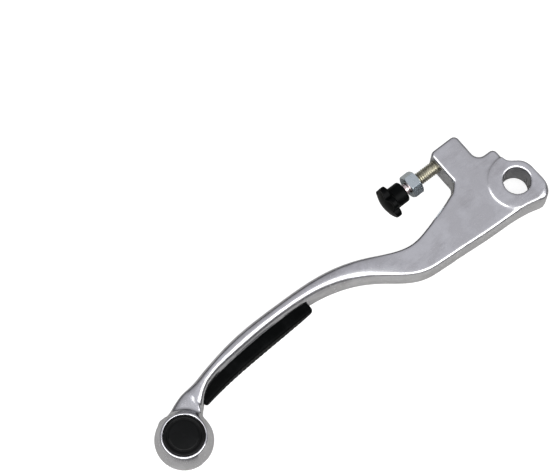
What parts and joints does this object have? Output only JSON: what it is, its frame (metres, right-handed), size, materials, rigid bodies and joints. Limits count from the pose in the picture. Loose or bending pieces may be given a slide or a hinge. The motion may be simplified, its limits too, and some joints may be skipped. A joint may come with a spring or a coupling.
{
  "type": "motorcycle brake lever",
  "caption": "Curved hand lever for a motorcycle front brake, with a pivot eye, a knob-turned reach adjuster and lock nut, a black finger pad and a ball end with black plugs.",
  "frame": {"origin": "centre of the pivot bore, at half the plate's thickness", "axes": "+X from the pivot to the ball end, +Y away from the handlebar towards the fingers, +Z along the pivot axis"},
  "size_m": [0.2047, 0.0497, 0.018],
  "materials": {
    "cast_aluminium": "satin polished casting",
    "pad_rubber": "fine matte moulding",
    "plug_plastic": "satin moulding",
    "stud_zinc": "yellowish zinc plate",
    "nut_zinc": "clear blue zinc plate",
    "knob_plastic": "satin moulding"
  },
  "bodies": {
    "lever": {"lever_body": "cast_aluminium", "grip_pad": "pad_rubber", "end_cap_upper": "plug_plastic", "end_cap_lower": "plug_plastic"},
    "stud": {"adjuster_screw": "stud_zinc"},
    "knob": {"adjuster_knob": "knob_plastic"},
    "nut": {"lock_nut": "nut_zinc"}
  },
  "joints": [
    {"name": "reach_adjust", "type": "slide", "parent": "lever", "child": "stud", "axis": [-1, 0, 0], "range_m": [-0.002, 0.005]},
    {"name": "knob_turn", "type": "hinge", "parent": "stud", "child": "knob", "pos_m": [0.0396, -0.0285, 0], "axis": [-1, 0, 0], "range_deg": [-720, 1800]},
    {"name": "lock_nut_travel", "type": "slide", "parent": "stud", "child": "nut", "axis": [-1, 0, 0], "range_m": [0, 0.0053]}
  ],
  "couplings": [
    {"joint": "knob_turn", "follows": "reach_adjust", "rad_per_m": 6283.2}
  ]
}
